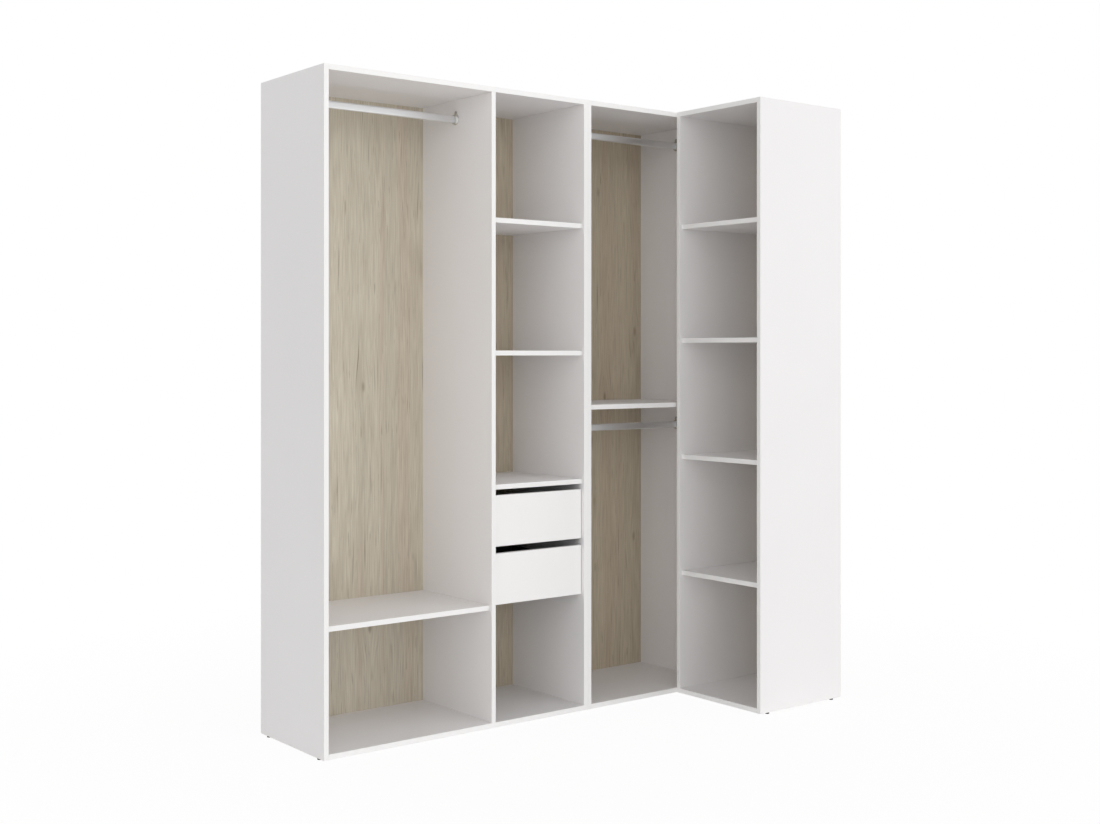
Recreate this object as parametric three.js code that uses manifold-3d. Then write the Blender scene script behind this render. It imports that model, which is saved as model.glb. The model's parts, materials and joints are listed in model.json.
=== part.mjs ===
// Open corner wardrobe: two straight modules side by side and a return module turned into the corner.
// Millimetres, +Z up. The straight modules open towards -Y and the return module opens towards -X.
// The origin lies on the floor, at the centre of the rectangle that the footprint fills.

import * as THREE from 'three';
import { mergeVertices } from 'three/addons/utils/BufferGeometryUtils.js';
import Module from 'manifold-3d';

const wasm = await Module();
wasm.setup();

// Sheet goods
const boardThickness = 16;
const backSheetThickness = 3;
const backSheetInset = 1;
const bandRadius = 0.8;
const hairline = 0.1;

// Carcass modules
const carcassHeight = 2030;
const moduleDepth = 400;
const wideBayWidth = 585;
const narrowBayWidth = 362;
const cornerBayWidth = 574;
const cornerEntryWidth = 389;
const returnBayWidth = 368;

// Shelves, as the share of the carcass height at which each underside lies
const shelfRecess = 12;
const wideShelfHeightShare = 0.1828;
const narrowShelfHeightShares = [0.3707, 0.5809, 0.7894];
const cornerShelfHeightShare = 0.4916;
const returnShelfHeightShares = [0.2025, 0.4025, 0.6025, 0.7985];
const narrowShelfNames = ['lower', 'middle', 'upper'];
const returnShelfNames = ['first', 'second', 'third', 'fourth'];

// Hanging rails and their end brackets
const railHeight = 24;
const railWidth = 14;
const railCornerRadius = 5;
const railWall = 1.2;
const railEndGap = 0.3;
const railDrop = 64;
const lowRailDrop = 72.5;
const bracketPlateRadius = 17;
const bracketPlateThickness = 2.5;
const bracketEarWidth = 13;
const bracketEarRise = 22;
const bracketScrewRadius = 2.2;
const socketDepth = 10;
const socketWall = 2.4;
const socketClearance = 0.3;

// Drawers
const drawerFrontHeight = 163;
const drawerSideGap = 1.5;
const upperFingerGap = 18.5;
const lowerFingerGap = 22.5;
const boxBoardThickness = 12;
const boxBoardHeight = 110;
const boxBoardRound = 2;
const boxRise = 14;
const boxLength = 350;
const grooveRise = 9;
const grooveDepth = 6;
const grooveClearance = 0.3;
const boxBottomThickness = 3;

// Roller runners, in the space between each box side and the carcass
const runnerSpace = 12.5;
const runnerSteel = 1.2;
const runnerSetback = 2;
const drawerTravel = 260;
const channelReach = 9.6;
const channelLip = 2.4;
const channelCover = 5;
const drawerFlangeRise = 19;
const drawerFlangeGap = 2.5;
const footReach = 11;
const rollerRadius = 8.5;
const rollerWidth = 5.4;
const rollerStart = 2.7;
const rollerChamfer = 0.7;
const rollerGap = 0.3;
const rollerEndMargin = 3.5;
const rollerPinRadius = 2.3;
const rivetRadius = 3.6;
const rivetHeight = 0.8;
const stopHeight = 4;
const stopLength = 9;
const stopRampShare = 0.35;
const stopGap = 0.5;
const channelHoleRadius = 3.2;
const channelHoleShares = [0.13, 0.47, 0.82];
const footHoleRadius = 1.9;
const footHoleShares = [0.2, 0.8];

// Glides under the side boards
const glideRadius = 7;
const glideHeight = 5;
const glideChamfer = 0.9;
const glideInset = 40;

// Facets on the round forms
const bandFacets = 3;
const railFacets = 4;
const bracketFacets = 8;
const pinFacets = 20;
const glideFacets = 24;

// How far a cut runs past the faces that it opens
const overrun = 5;

// Sizes that follow from the ones above
const boardDepth = moduleDepth - backSheetThickness - hairline;
const shelfDepth = boardDepth - shelfRecess;
const mainWidth = wideBayWidth + narrowBayWidth + 3 * boardThickness;
const cornerX = mainWidth + hairline;
const returnX = cornerX + boardThickness + cornerEntryWidth;
const returnWidth = returnBayWidth + 2 * boardThickness;
const overallWidth = returnX + moduleDepth;
const overallDepth = moduleDepth + hairline + returnWidth;
const drawerBoxY = shelfRecess + boardThickness + hairline;
const boxWidth = narrowBayWidth - 2 * runnerSpace;
const boxInnerWidth = boxWidth - 2 * boxBoardThickness;
const bottomSheetWidth = boxInnerWidth + 2 * (grooveDepth - grooveClearance);
const grooveHeight = boxBottomThickness + grooveClearance;
const boxBackRise = grooveRise + grooveHeight;
const quarterTurn = Math.PI / 2;

// Finishes
function finish(color, roughness, metalness = 0) {
  return new THREE.MeshStandardMaterial({ color, roughness, metalness });
}

const whiteMelamine = () => finish(0xf1efef, 0.5);
const oakPrintedSheet = () => finish(0xc7bca8, 0.6);
const anthraciteFoil = () => finish(0x3b3c3e, 0.6);
const satinAluminium = () => finish(0xedeeef, 0.4, 1);
const zincCasting = () => finish(0xe2e2e1, 0.2, 1);
const epoxyCoatedSteel = () => finish(0xe6e6e2, 0.4);
const blackPolythene = () => finish(0x18181a, 0.6);

// Turns that carry a section drawn in two axes, and run along the third, on to the part's axes
const unitX = new THREE.Vector3(1, 0, 0);
const unitY = new THREE.Vector3(0, 1, 0);
const unitZ = new THREE.Vector3(0, 0, 1);
const turnAlongX = new THREE.Matrix4().makeBasis(unitY, unitZ, unitX);
const turnAlongY = new THREE.Matrix4().makeBasis(unitZ, unitX, unitY);

function run(section, length, facets) {
  const settings = { depth: length, bevelEnabled: false, curveSegments: facets };
  return new THREE.ExtrudeGeometry(section, settings);
}

// The section is drawn in (y, z) and runs along +X
function runAlongX(section, length, facets = bandFacets) {
  return run(section, length, facets).applyMatrix4(turnAlongX);
}

// The section is drawn in (z, x) and runs along +Y
function runAlongY(section, length, facets = bandFacets) {
  return run(section, length, facets).applyMatrix4(turnAlongY);
}

// The section is drawn in (x, y) and runs along +Z
function runAlongZ(section, length, facets = bandFacets) {
  return run(section, length, facets);
}

function block(x, y, z, width, depth, height) {
  const geometry = new THREE.BoxGeometry(width, depth, height);
  return geometry.translate(x + width / 2, y + depth / 2, z + height / 2);
}

// A lathe profile of [radius, distance] pairs is turned about +Y and laid along +X
function turned(profile, facets) {
  const points = profile.map(([radius, distance]) => new THREE.Vector2(radius, distance));
  return new THREE.LatheGeometry(points, facets).rotateZ(-quarterTurn);
}

// Cuts and joins
function toSolid(geometry) {
  const bare = geometry.clone();
  bare.deleteAttribute('normal');
  bare.deleteAttribute('uv');
  const merged = mergeVertices(bare);
  const vertProperties = Float32Array.from(merged.attributes.position.array);
  const triVerts = Uint32Array.from(merged.index.array);
  return new wasm.Manifold(new wasm.Mesh({ numProp: 3, vertProperties, triVerts }));
}

function toGeometry(solid) {
  const { vertProperties, triVerts } = solid.getMesh();
  const geometry = new THREE.BufferGeometry();
  geometry.setAttribute('position', new THREE.BufferAttribute(vertProperties, 3));
  geometry.setIndex(new THREE.BufferAttribute(triVerts, 1));
  geometry.computeVertexNormals();
  return geometry;
}

function combine(base, joined, cut) {
  let solid = toSolid(base);
  for (const geometry of joined) solid = solid.add(toSolid(geometry));
  for (const geometry of cut) solid = solid.subtract(toSolid(geometry));
  return toGeometry(solid);
}

function addPiece(group, name, geometry, material, x = 0, y = 0, z = 0) {
  const mesh = new THREE.Mesh(geometry, material);
  mesh.name = name;
  mesh.position.set(x, y, z);
  group.add(mesh);
  return mesh;
}

// Boards. The banded front edge lies at depth 0 and both of its corners are rounded.
function bandedOutline(thickness, depth) {
  const outline = new THREE.Path();
  outline.moveTo(thickness, depth);
  outline.lineTo(0, depth);
  outline.absarc(bandRadius, bandRadius, bandRadius, Math.PI, Math.PI + quarterTurn);
  outline.absarc(thickness - bandRadius, bandRadius, bandRadius, -quarterTurn, 0);
  return outline.getPoints(bandFacets);
}

function uprightBoard(height) {
  return runAlongZ(new THREE.Shape(bandedOutline(boardThickness, boardDepth)), height);
}

function levelBoard(length, depth) {
  const outline = bandedOutline(boardThickness, depth);
  return runAlongX(new THREE.Shape(outline.map((point) => new THREE.Vector2(point.y, point.x))), length);
}

function addShelf(group, name, bayX, bayWidth, heightShare) {
  const geometry = levelBoard(bayWidth - 2 * hairline, shelfDepth);
  addPiece(group, name, geometry, whiteMelamine(), bayX + hairline, shelfRecess, carcassHeight * heightShare);
}

function addBackSheet(group, name, width) {
  const sheetWidth = width - 2 * backSheetInset;
  const sheetHeight = carcassHeight - 2 * backSheetInset;
  const sheetY = moduleDepth - backSheetThickness;
  const geometry = block(backSheetInset, sheetY, backSheetInset, sheetWidth, backSheetThickness, sheetHeight);
  addPiece(group, name, geometry, oakPrintedSheet());
}

// A carcass box: two sides of full height, with the top and bottom between them and the sheet on its back
function addCarcass(group, title, width, leftName, rightName) {
  const innerWidth = width - 2 * boardThickness;
  const level = () => levelBoard(innerWidth - 2 * hairline, boardDepth);
  const levelX = boardThickness + hairline;
  addPiece(group, `${title}_${leftName}_side`, uprightBoard(carcassHeight), whiteMelamine());
  addPiece(group, `${title}_${rightName}_side`, uprightBoard(carcassHeight), whiteMelamine(),
    width - boardThickness);
  addPiece(group, `${title}_bottom_board`, level(), whiteMelamine(), levelX);
  addPiece(group, `${title}_top_board`, level(), whiteMelamine(), levelX, 0, carcassHeight - boardThickness);
  addBackSheet(group, `${title}_back_sheet`, width);
}

// Hanging rail: a drawn tube with flat sides, held at each end in the socket of a cast bracket
function roundedRectangle(width, height, radius) {
  const right = width / 2;
  const top = height / 2;
  const shape = new THREE.Shape();
  shape.absarc(right - radius, top - radius, radius, 0, quarterTurn);
  shape.absarc(radius - right, top - radius, radius, quarterTurn, Math.PI);
  shape.absarc(radius - right, radius - top, radius, Math.PI, Math.PI + quarterTurn);
  shape.absarc(right - radius, radius - top, radius, -quarterTurn, 0);
  shape.closePath();
  return shape;
}

function railOutline(growth) {
  return roundedRectangle(railWidth + 2 * growth, railHeight + 2 * growth, railCornerRadius + growth);
}

function hangingRail(length) {
  const section = railOutline(0);
  section.holes.push(railOutline(-railWall));
  return runAlongX(section, length, railFacets);
}

function roundHole(x, y, radius) {
  const hole = new THREE.Path();
  hole.absarc(x, y, radius, 0, 2 * Math.PI);
  return hole;
}

// The plate lies against the board at x = 0, the rail's axis is at y = z = 0 and the ear stands above it
function railBracket() {
  const earRadius = bracketEarWidth / 2;
  const earAngle = Math.asin(earRadius / bracketPlateRadius);
  const plate = new THREE.Shape();
  plate.absarc(0, 0, bracketPlateRadius, quarterTurn - earAngle, quarterTurn + earAngle, true);
  plate.absarc(0, bracketEarRise, earRadius, Math.PI, 0, true);
  plate.closePath();
  plate.holes.push(roundHole(0, bracketEarRise, bracketScrewRadius), roundHole(0, 0, bracketScrewRadius));
  const socket = railOutline(socketClearance + socketWall);
  socket.holes.push(railOutline(socketClearance));
  const base = runAlongX(plate, bracketPlateThickness, bracketFacets);
  return combine(base, [runAlongX(socket, socketDepth, railFacets)], []);
}

// A bracket on the board whose face lies at x, turned round where it faces left
function addBracket(group, name, x, z, faceLeft) {
  const bracket = addPiece(group, name, railBracket(), zincCasting(), x, boardDepth / 2, z);
  if (faceLeft) bracket.rotation.z = Math.PI;
}

function addHangingRail(group, title, bayX, bayWidth, z) {
  const railStart = hairline + bracketPlateThickness + railEndGap;
  const rail = hangingRail(bayWidth - 2 * railStart);
  addPiece(group, `${title}_rail`, rail, satinAluminium(), bayX + railStart, boardDepth / 2, z);
  addBracket(group, `${title}_rail_bracket_left`, bayX + hairline, z, false);
  addBracket(group, `${title}_rail_bracket_right`, bayX + bayWidth - hairline, z, true);
}

// Drawer box boards. The section is drawn in (z, across) with both top corners rounded.
function boxBoardOutline(height) {
  const outline = new THREE.Path();
  outline.moveTo(0, boxBoardThickness);
  outline.lineTo(0, 0);
  outline.absarc(height - boxBoardRound, boxBoardRound, boxBoardRound, -quarterTurn, 0);
  outline.absarc(height - boxBoardRound, boxBoardThickness - boxBoardRound, boxBoardRound, 0, quarterTurn);
  return outline.getPoints(bandFacets);
}

// The groove for the bottom sheet is open on the board's inner face and runs its full length
function drawerSide(inner) {
  const board = runAlongY(new THREE.Shape(boxBoardOutline(boxBoardHeight)), boxLength - hairline);
  const grooveX = inner > 0 ? boxBoardThickness - grooveDepth : -overrun;
  const grooveWidth = grooveDepth + overrun;
  const grooveLength = boxLength + 2 * overrun;
  const groove = block(grooveX, -overrun, grooveRise, grooveWidth, grooveLength, grooveHeight);
  return combine(board, [], [groove]);
}

function drawerBack() {
  const outline = boxBoardOutline(boxBoardHeight - boxBackRise);
  const section = new THREE.Shape(outline.map((point) => new THREE.Vector2(point.y, point.x)));
  return runAlongX(section, boxInnerWidth - 2 * hairline);
}

// A face board with its banded edges rounded all round, grooved behind for the bottom sheet
function drawerFront(width) {
  const face = new THREE.Shape();
  face.moveTo(bandRadius, bandRadius);
  face.lineTo(drawerFrontHeight - bandRadius, bandRadius);
  face.lineTo(drawerFrontHeight - bandRadius, width - bandRadius);
  face.lineTo(bandRadius, width - bandRadius);
  face.closePath();
  const board = new THREE.ExtrudeGeometry(face, {
    depth: boardThickness - 2 * bandRadius,
    bevelThickness: bandRadius,
    bevelSize: bandRadius,
    bevelSegments: bandFacets,
  });
  board.translate(0, 0, bandRadius).applyMatrix4(turnAlongY);
  const grooveX = (width - bottomSheetWidth) / 2 - grooveClearance;
  const grooveWidth = bottomSheetWidth + 2 * grooveClearance;
  const grooveZ = boxRise + grooveRise;
  const grooveY = boardThickness - grooveDepth;
  const groove = block(grooveX, grooveY, grooveZ, grooveWidth, grooveDepth + overrun, grooveHeight);
  return combine(board, [], [groove]);
}

function drawerBottom() {
  const length = boxLength + grooveDepth - grooveClearance;
  return block(0, 0, 0, bottomSheetWidth, length, boxBottomThickness);
}

// Roller runners. Distances across are measured from the carcass board, inward, and the side is 1
// where inward is +X and -1 where it is -X. Heights are measured from the box side's lower edge.
const channelRise = drawerFlangeRise - runnerSteel - rollerGap - 2 * rollerRadius
  - 2 * rollerGap - runnerSteel;
const channelHeight = drawerFlangeRise - channelRise + channelCover;
const channelLength = boxLength;
const rollerOffset = rollerRadius + rollerEndMargin;

function runnerSection(side, points) {
  return new THREE.Shape(points.map(([across, rise]) => new THREE.Vector2(rise, side * across)));
}

// A roller on its riveted pin, which starts in the steel at distance 0 across
function rollerOnPin(side, pinStart, direction) {
  const rollerFar = Math.abs(rollerStart + (direction > 0 ? rollerWidth : 0) - pinStart);
  const rollerNear = rollerFar - rollerWidth;
  const profile = [
    [0, 0],
    [rollerPinRadius, 0],
    [rollerPinRadius, rollerNear],
    [rollerRadius - rollerChamfer, rollerNear],
    [rollerRadius, rollerNear + rollerChamfer],
    [rollerRadius, rollerFar - rollerChamfer],
    [rollerRadius - rollerChamfer, rollerFar],
    [rivetRadius, rollerFar],
    [rivetRadius, rollerFar + rivetHeight],
    [0, rollerFar + rivetHeight],
  ];
  const roller = turned(profile, pinFacets);
  if (side * direction < 0) roller.rotateZ(Math.PI);
  return roller.translate(side * pinStart, 0, 0);
}

// A cut for a screw hole through sheet steel, along +Y and centred on the origin
function screwHole(radius) {
  return new THREE.CylinderGeometry(radius, radius, runnerSteel + 2 * overrun, pinFacets);
}

// The channel on the carcass: lipped steel, a roller at its front and a stop for the drawer's roller
function carcassRunner(side) {
  const steel = runnerSteel;
  const start = hairline;
  const lipTop = steel + channelLip;
  const section = runnerSection(side, [
    [start, 0], [channelReach, 0], [channelReach, lipTop], [channelReach - steel, lipTop],
    [channelReach - steel, steel], [start + steel, steel], [start + steel, channelHeight - steel],
    [channelReach - steel, channelHeight - steel], [channelReach - steel, channelHeight - lipTop],
    [channelReach, channelHeight - lipTop], [channelReach, channelHeight], [start, channelHeight],
  ]);
  const channel = runAlongY(section, channelLength);
  const rollerZ = drawerFlangeRise - runnerSteel - rollerGap - rollerRadius - channelRise;
  const roller = rollerOnPin(side, start + steel / 2, 1).translate(0, rollerOffset, rollerZ);
  const holes = channelHoleShares.map((share) => {
    const hole = screwHole(channelHoleRadius).rotateZ(quarterTurn);
    return hole.translate(side * start, channelLength * share, channelHeight / 2);
  });
  return combine(channel, [roller, stopHump(side)], holes);
}

// A hump pressed up out of the channel's floor, which the drawer's roller meets at full travel
function stopHump(side) {
  const contactDrop = rollerRadius + rollerGap - stopHeight;
  const contactReach = Math.sqrt(rollerRadius ** 2 - contactDrop ** 2);
  const openRollerY = boxLength - rollerOffset - drawerTravel - runnerSetback;
  const humpEnd = openRollerY - contactReach - stopGap;
  const ramp = stopLength * stopRampShare;
  const floor = runnerSteel / 2;
  const section = new THREE.Shape([
    new THREE.Vector2(humpEnd - stopLength, floor),
    new THREE.Vector2(humpEnd, floor),
    new THREE.Vector2(humpEnd, runnerSteel + stopHeight),
    new THREE.Vector2(humpEnd - stopLength + ramp, runnerSteel + stopHeight),
  ]);
  const hump = runAlongX(section, rollerWidth);
  return hump.translate(side > 0 ? rollerStart : -rollerStart - rollerWidth, 0, 0);
}

// The rail under the box side: a foot below the board, a web beside it, a flange that rides on the
// channel's roller and a roller of its own at the rear
function drawerRunner(side) {
  const steel = runnerSteel;
  const webInner = runnerSpace - hairline;
  const webOuter = webInner - steel;
  const footBottom = -hairline - steel;
  const flangeTop = drawerFlangeRise;
  const section = runnerSection(side, [
    [webOuter, footBottom], [webOuter + footReach, footBottom], [webOuter + footReach, -hairline],
    [webInner, -hairline], [webInner, flangeTop], [drawerFlangeGap, flangeTop],
    [drawerFlangeGap, flangeTop - steel], [webOuter, flangeTop - steel],
  ]);
  const rail = runAlongY(section, boxLength - hairline);
  const rollerY = boxLength - rollerOffset;
  const rollerZ = channelRise + runnerSteel + rollerGap + rollerRadius;
  const roller = rollerOnPin(side, webOuter + steel / 2, -1).translate(0, rollerY, rollerZ);
  const holes = footHoleShares.map((share) => {
    const hole = screwHole(footHoleRadius).rotateX(quarterTurn);
    return hole.translate(side * (webInner + footReach / 2), boxLength * share, footBottom);
  });
  return combine(rail, [roller], holes);
}

function addDrawer(group, title, bayX, frontZ) {
  const frontWidth = narrowBayWidth - 2 * drawerSideGap;
  const frontX = bayX + drawerSideGap;
  const boxZ = frontZ + boxRise;
  addPiece(group, `${title}_front`, drawerFront(frontWidth), whiteMelamine(), frontX, shelfRecess, frontZ);
  addDrawerBox(group, title, bayX + runnerSpace, boxZ);
  const sides = [['left', 1, bayX], ['right', -1, bayX + narrowBayWidth]];
  for (const [place, side, x] of sides) {
    addPiece(group, `${title}_carcass_runner_${place}`, carcassRunner(side), epoxyCoatedSteel(),
      x, drawerBoxY + runnerSetback, boxZ + channelRise);
    addPiece(group, `${title}_box_runner_${place}`, drawerRunner(side), epoxyCoatedSteel(),
      x, drawerBoxY, boxZ);
  }
}

function addDrawerBox(group, title, x, z) {
  const rightX = x + boxWidth - boxBoardThickness;
  const backX = x + boxBoardThickness + hairline;
  const backY = drawerBoxY + boxLength - boxBoardThickness - hairline;
  const bottomX = x + (boxWidth - bottomSheetWidth) / 2;
  addPiece(group, `${title}_box_left_side`, drawerSide(1), anthraciteFoil(), x, drawerBoxY, z);
  addPiece(group, `${title}_box_right_side`, drawerSide(-1), anthraciteFoil(), rightX, drawerBoxY, z);
  addPiece(group, `${title}_box_back`, drawerBack(), anthraciteFoil(), backX, backY, z + boxBackRise);
  addPiece(group, `${title}_box_bottom`, drawerBottom(), anthraciteFoil(),
    bottomX, drawerBoxY - grooveDepth, z + grooveRise + hairline);
}

// Glides nailed under the side boards, one near each end
function glide() {
  const profile = [[0, 0], [glideRadius - glideChamfer, 0], [glideRadius, glideChamfer],
    [glideRadius, glideHeight - hairline], [0, glideHeight - hairline]];
  const points = profile.map(([radius, rise]) => new THREE.Vector2(radius, rise));
  return new THREE.LatheGeometry(points, glideFacets).rotateX(quarterTurn);
}

function addGlides(group, title, boardX, frontName, rearName) {
  const x = boardX + boardThickness / 2;
  addPiece(group, `${title}_${frontName}_glide`, glide(), blackPolythene(), x, glideInset, -glideHeight);
  addPiece(group, `${title}_${rearName}_glide`, glide(), blackPolythene(),
    x, boardDepth - glideInset, -glideHeight);
}

// Main module: a wide hanging bay and a narrow bay of shelves over two drawers
function mainModule() {
  const group = new THREE.Group();
  const wideX = boardThickness;
  const dividerX = wideX + wideBayWidth;
  const narrowX = dividerX + boardThickness;
  addCarcass(group, 'main', mainWidth, 'left', 'right');
  addPiece(group, 'main_divider', uprightBoard(carcassHeight - 2 * (boardThickness + hairline)),
    whiteMelamine(), dividerX, 0, boardThickness + hairline);
  addShelf(group, 'wide_bay_shelf', wideX, wideBayWidth, wideShelfHeightShare);
  narrowShelfHeightShares.forEach((share, level) => {
    addShelf(group, `narrow_bay_${narrowShelfNames[level]}_shelf`, narrowX, narrowBayWidth, share);
  });
  const railZ = carcassHeight - boardThickness - railDrop;
  addHangingRail(group, 'wide_bay', wideX, wideBayWidth, railZ);
  const stackTop = carcassHeight * narrowShelfHeightShares[0];
  const upperFrontZ = stackTop - upperFingerGap - drawerFrontHeight;
  const lowerFrontZ = upperFrontZ - lowerFingerGap - drawerFrontHeight;
  addDrawer(group, 'upper_drawer', narrowX, upperFrontZ);
  addDrawer(group, 'lower_drawer', narrowX, lowerFrontZ);
  addGlides(group, 'main_left', 0, 'front', 'rear');
  addGlides(group, 'main_right', mainWidth - boardThickness, 'front', 'rear');
  return group;
}

// Corner module: one bay with two hanging rails, partly behind the return module
function cornerModule() {
  const group = new THREE.Group();
  const width = cornerBayWidth + 2 * boardThickness;
  const shelfZ = carcassHeight * cornerShelfHeightShare;
  addCarcass(group, 'corner', width, 'left', 'right');
  addShelf(group, 'corner_bay_shelf', boardThickness, cornerBayWidth, cornerShelfHeightShare);
  const upperRailZ = carcassHeight - boardThickness - railDrop;
  addHangingRail(group, 'corner_bay_upper', boardThickness, cornerBayWidth, upperRailZ);
  addHangingRail(group, 'corner_bay_lower', boardThickness, cornerBayWidth, shelfZ - lowRailDrop);
  addGlides(group, 'corner_right', width - boardThickness, 'front', 'rear');
  group.position.x = cornerX;
  return group;
}

// Return module: one bay of open shelves, turned a quarter so that it opens towards -X
function returnModule() {
  const group = new THREE.Group();
  addCarcass(group, 'return', returnWidth, 'inner', 'outer');
  returnShelfHeightShares.forEach((share, level) => {
    addShelf(group, `return_${returnShelfNames[level]}_shelf`, boardThickness, returnBayWidth, share);
  });
  addGlides(group, 'return_outer', returnWidth - boardThickness, 'front', 'rear');
  group.rotation.z = -quarterTurn;
  group.position.set(returnX, -hairline, 0);
  return group;
}

const wardrobe = new THREE.Group();
wardrobe.name = 'corner_wardrobe';
wardrobe.add(mainModule(), cornerModule(), returnModule());
wardrobe.position.set(-overallWidth / 2, overallDepth / 2 - moduleDepth, glideHeight);

export default wardrobe;
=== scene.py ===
"""Finishes and hardware of an open corner wardrobe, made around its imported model. Metres, +Z up."""

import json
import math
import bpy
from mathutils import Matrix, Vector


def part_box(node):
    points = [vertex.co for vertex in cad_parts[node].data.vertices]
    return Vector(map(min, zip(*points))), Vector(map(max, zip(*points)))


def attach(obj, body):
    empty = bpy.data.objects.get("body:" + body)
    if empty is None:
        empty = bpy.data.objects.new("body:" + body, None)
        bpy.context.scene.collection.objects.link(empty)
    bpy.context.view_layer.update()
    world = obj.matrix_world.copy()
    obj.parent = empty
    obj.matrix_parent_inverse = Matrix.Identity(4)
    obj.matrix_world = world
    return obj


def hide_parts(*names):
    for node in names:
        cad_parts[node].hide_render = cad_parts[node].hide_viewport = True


bl_info = {
    "name": "Corner Wardrobe",
    "version": (1, 0, 0),
    "blender": (4, 5, 0),
    "location": "3D View > Sidebar > Wardrobe",
    "description": "Makes the finishes, hardware and studio of an open corner wardrobe",
    "category": "Object",
}

import bmesh
import bpy
from bpy.props import FloatProperty, FloatVectorProperty, IntProperty, PointerProperty
from bpy.types import Operator, Panel, PropertyGroup
from mathutils import Matrix, Vector

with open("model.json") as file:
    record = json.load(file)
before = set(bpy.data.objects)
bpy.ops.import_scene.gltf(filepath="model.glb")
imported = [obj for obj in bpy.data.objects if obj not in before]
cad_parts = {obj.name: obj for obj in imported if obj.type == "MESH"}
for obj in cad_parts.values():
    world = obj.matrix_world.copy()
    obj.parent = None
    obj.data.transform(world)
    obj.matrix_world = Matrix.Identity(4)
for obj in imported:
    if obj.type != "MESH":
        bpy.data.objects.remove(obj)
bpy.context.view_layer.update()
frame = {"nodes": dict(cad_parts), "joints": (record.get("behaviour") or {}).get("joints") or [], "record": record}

MM = 0.001
QUARTER = math.pi / 2
NEAR = 0.02 * MM
AXES = {"x": 0, "y": 1, "z": 2}
AXIS_TURN = {"x": (0, QUARTER, 0), "y": (QUARTER, 0, 0), "z": (0, 0, 0)}
SLOT_OF = {part["node"]: part["material_slot"] for part in frame["record"]["subparts"]}
# A level under all boards, for those whose underside isn't raw
NO_FOOT = -1000 * MM
RAILS = ("wide_bay_rail", "corner_bay_upper_rail", "corner_bay_lower_rail")
DRAWERS = ("upper_drawer", "lower_drawer")
# The axis that each back sheet faces along
BACK_SHEETS = {"main_back_sheet": "y", "corner_back_sheet": "y", "return_back_sheet": "x"}
# Turns a head that faces +Z towards +X, +Y or -Z
FACING_X = Matrix.Rotation(QUARTER, 4, "Y")
FACING_Y = Matrix.Rotation(-QUARTER, 4, "X")
FACING_DOWN = Matrix.Rotation(math.pi, 4, "X")
# Shares of a runner's length at which its screws sit
CHANNEL_SCREW_SHARES = (0.13, 0.47, 0.82)
RAIL_SCREW_SHARES = (0.2, 0.8)
# Shares of a side's height and depth at which the bolts that join two modules sit
BOLT_HEIGHT_SHARES = (0.08, 0.55, 0.92)
BOLT_DEPTH_SHARES = (0.11, 0.88)
# Shares of a screw's or rivet's height, of a roller's width and of a roller's radius
SCREW_DOME_SHARE = 0.7
RIVET_DOME_SHARE = 0.6
TREAD_ROUND_SHARE = 0.13
HUB_RIM_SHARE = 0.19
RAIL_SEGMENTS = 8
# Sides of the round pieces that the user's setting leaves alone
FLOOR_SIDES = PLATE_SIDES = 64
EAR_SIDES, HEAD_SIDES, PIN_SIDES, NAIL_SIDES = 48, 32, 24, 12
SMOOTH_ANGLE = math.radians(35)
# Shifted so that one of the print's rosy bands runs down the right of the wide bay
PRINT_SHIFT = (150 * MM, 0, 0)
# Over this stretch of the narrow bay, from left to right, painted shade makes the print a little browner and
# darker. It stays full in the corner bay and beyond.
PAINTED_SHADE_FROM, PAINTED_SHADE_TO = -200 * MM, 100 * MM
STEEL = "zinc_plated_steel"
# A full frame's width in millimetres
SENSOR_WIDTH = 36
# The Wave node's bands run through this many radians in each unit of its coordinates
WAVE_RADIANS = 20


def linear(code):
    """Turns an sRGB hex colour into linear red, green and blue."""
    shares = [int(code[i : i + 2], 16) / 255 for i in (0, 2, 4)]
    return tuple(s / 12.92 if s <= 0.04045 else ((s + 0.055) / 1.055) ** 2.4 for s in shares)


def colour(title, about, code):
    """A colour property that starts from an sRGB hex colour."""
    return FloatVectorProperty(
        name=title, description=about, subtype="COLOR", size=3, min=0, max=1, default=linear(code)
    )


def length(title, about, millimetres):
    """A length property that starts from a size in millimetres."""
    return FloatProperty(
        name=title, description=about, unit="LENGTH", min=0, default=millimetres * MM
    )


def brightness(title, about, value):
    """A property for the strength of a light."""
    return FloatProperty(name=title, description=about, min=0, default=value)


class WardrobeColours(PropertyGroup):
    board_face: colour("Board face", "Face of the melamine boards", "F1EFEF")
    board_band: colour("Edge band", "Glued band on the boards' front edges", "F5F4F3")
    band_seam: colour("Band seam", "Thin line between band and face", "D9D6D1")
    chip_pale: colour("Pale chip", "Lightest chips of a raw board edge", "D8BF95")
    chip_dark: colour("Dark chip", "Darkest chips of a raw board edge", "9C7B51")
    oak_pale: colour("Pale oak", "Lightest tone of the printed oak", "DED6C4")
    oak_grey: colour("Grey oak", "Cool middle tone of the printed oak", "C9C2B1")
    oak_rose: colour("Rosy oak", "Warm middle tone of the printed oak", "D5C5B3")
    oak_dark: colour("Dark oak", "Pores, cracks and knots of the printed oak", "806C50")
    # Painted shade: a tint that multiplies the print darker across the narrow bay, and fully in the corner bay and
    # on the return sheet
    oak_painted_shade: colour("Oak painted shade", "Tint of the print in the corner bay and beyond", "F4EFE9")
    hardboard: colour("Hardboard", "Raw rear face of the back sheets", "8F6E50")
    foil: colour("Drawer foil", "Foil on the drawer boxes", "3A3B3E")
    aluminium: colour("Aluminium", "Anodised hanging rails", "F0F1F2")
    zinc: colour("Plated zinc", "Cast rail brackets", "ECECEA")
    steel: colour("Zinc-plated steel", "Screws, nails, pins and rivets", "C4C6C7")
    powder: colour("Powder coat", "Coated steel of the drawer runners", "E9E9E4")
    nylon: colour("Nylon", "Rollers of the drawer runners", "E6E3D8")
    polythene: colour("Polythene", "Floor glides", "0D0D0E")


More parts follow.
